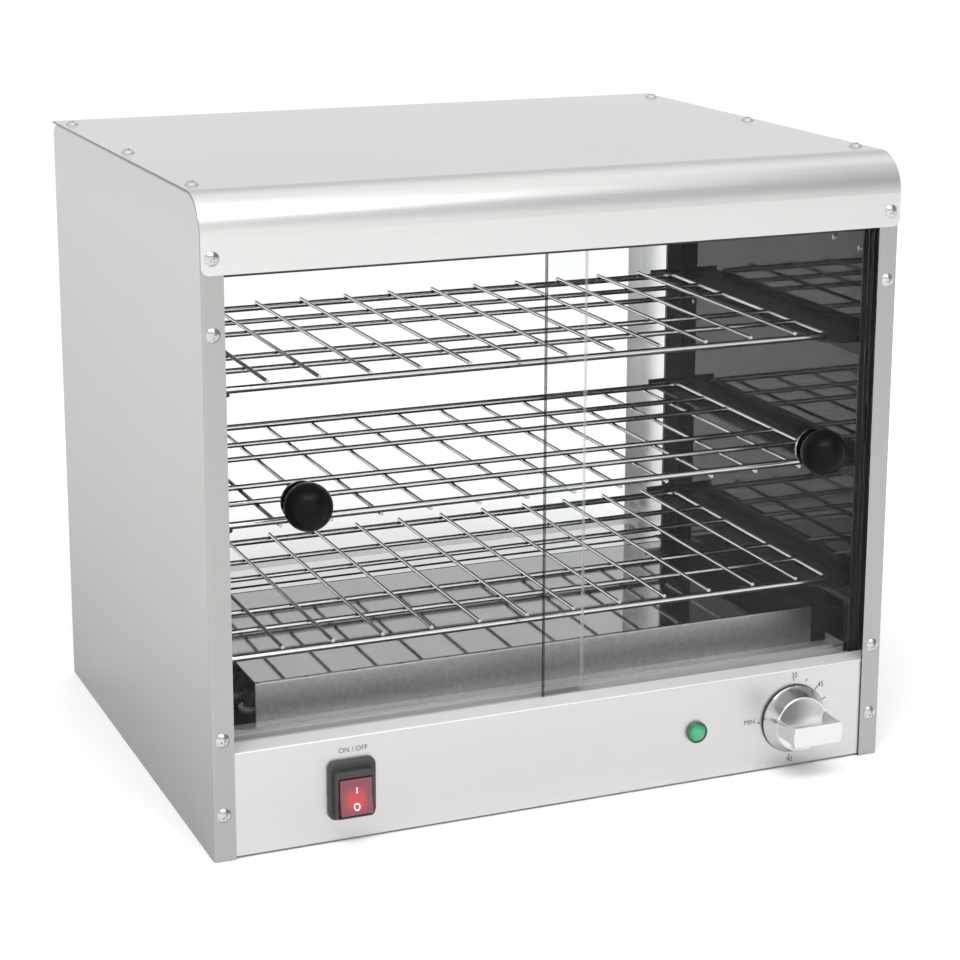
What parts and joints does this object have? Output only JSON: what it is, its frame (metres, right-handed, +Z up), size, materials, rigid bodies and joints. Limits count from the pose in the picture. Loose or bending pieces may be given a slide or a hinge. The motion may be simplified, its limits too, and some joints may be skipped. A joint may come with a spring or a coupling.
{
  "type": "pie warmer cabinet",
  "caption": "Countertop food warmer cabinet with sliding glass doors, wire racks on side rails above a covered heater, and a panel with a rocker switch, lamp and thermostat dial.",
  "frame": {"origin": "middle of the overall footprint, on the surface that the cabinet stands on", "axes": "+Z up, -Y out of the front, +X to the right as the front is seen"},
  "size_m": [0.45, 0.4156, 0.3973],
  "materials": {
    "brushed_stainless": "fine brushed grain",
    "polished_stainless": "bright rolled",
    "dark_painted_steel": "satin black",
    "clear_glass": "clear, polished edges",
    "black_phenolic": "glossy",
    "bright_chrome": "bright plated",
    "heater_tube": "heat darkened",
    "white_ceramic": "unglazed",
    "dark_moulding": "moulded",
    "plated_metal": "zinc plated",
    "copper_tube": "bare copper",
    "satin_aluminium": "satin turned",
    "black_ring": "moulded",
    "green_lens": "translucent",
    "grey_rubber": "soft matt",
    "red_lens": "translucent",
    "nylon": "natural",
    "lead_insulation": "silicone sleeve"
  },
  "bodies": {
    "cabinet": {"left_side_panel": "brushed_stainless", "right_side_panel": "brushed_stainless", "top_hood": "brushed_stainless", "control_panel": "brushed_stainless", "rear_lower_panel": "brushed_stainless", "base_plate": "brushed_stainless", "floor_pan": "polished_stainless", "element_cover": "polished_stainless", "front_bottom_track": "polished_stainless", "front_top_track": "polished_stainless", "rear_bottom_rail": "polished_stainless", "rear_top_rail": "polished_stainless", "element_brackets": "polished_stainless", "bulb_clips": "polished_stainless", "left_door_channel": "dark_painted_steel", "right_door_channel": "dark_painted_steel", "rear_left_post": "dark_painted_steel", "rear_right_post": "dark_painted_steel", "upper_left_rail": "dark_painted_steel", "upper_right_rail": "dark_painted_steel", "middle_left_rail": "dark_painted_steel", "middle_right_rail": "dark_painted_steel", "lower_left_rail": "dark_painted_steel", "lower_right_rail": "dark_painted_steel", "rear_glass": "clear_glass", "hood_screws": "bright_chrome", "front_flange_screws": "bright_chrome", "rear_flange_screws": "bright_chrome", "base_screws": "bright_chrome", "lamp_bezel": "bright_chrome", "front_element": "heater_tube", "rear_element": "heater_tube", "element_insulators": "white_ceramic", "thermostat_body": "dark_moulding", "lamp_body": "dark_moulding", "switch_body": "dark_moulding", "cord_gland": "dark_moulding", "gland_nut": "dark_moulding", "thermostat_bulb_and_tube": "copper_tube", "dial_ring": "black_ring", "lamp_lens": "green_lens", "switch_frame": "grey_rubber", "terminal_block": "nylon", "internal_wiring": "lead_insulation"},
    "left_door": {"left_door_glass": "clear_glass", "left_door_knob": "black_phenolic", "left_knob_washers": "bright_chrome", "left_knob_bolt": "bright_chrome"},
    "right_door": {"right_door_glass": "clear_glass", "right_door_knob": "black_phenolic", "right_knob_washers": "bright_chrome", "right_knob_bolt": "bright_chrome"},
    "upper_rack_body": {"upper_rack": "bright_chrome"},
    "middle_rack_body": {"middle_rack": "bright_chrome"},
    "lower_rack_body": {"lower_rack": "bright_chrome"},
    "dial": {"dial_knob": "satin_aluminium", "thermostat_shaft": "plated_metal"},
    "rocker": {"switch_rocker": "red_lens"}
  },
  "joints": [
    {"name": "left_door_slide", "type": "slide", "parent": "cabinet", "child": "left_door", "axis": [1, 0, 0], "range_m": [0, 0.133]},
    {"name": "right_door_slide", "type": "slide", "parent": "cabinet", "child": "right_door", "axis": [1, 0, 0], "range_m": [-0.133, 0]},
    {"name": "upper_rack_slide", "type": "slide", "parent": "cabinet", "child": "upper_rack_body", "axis": [0, 1, 0], "range_m": [0, 0.015]},
    {"name": "middle_rack_slide", "type": "slide", "parent": "cabinet", "child": "middle_rack_body", "axis": [0, 1, 0], "range_m": [0, 0.015]},
    {"name": "lower_rack_slide", "type": "slide", "parent": "cabinet", "child": "lower_rack_body", "axis": [0, 1, 0], "range_m": [0, 0.015]},
    {"name": "thermostat_dial", "type": "hinge", "parent": "cabinet", "child": "dial", "pos_m": [0.1618, -0.1748, 0.0335], "axis": [0, 1, 0], "range_deg": [0, 270]},
    {"name": "switch_rock", "type": "hinge", "parent": "cabinet", "child": "rocker", "pos_m": [-0.1395, -0.1798, 0.0307], "axis": [1, 0, 0], "range_deg": [0, 15]}
  ]
}
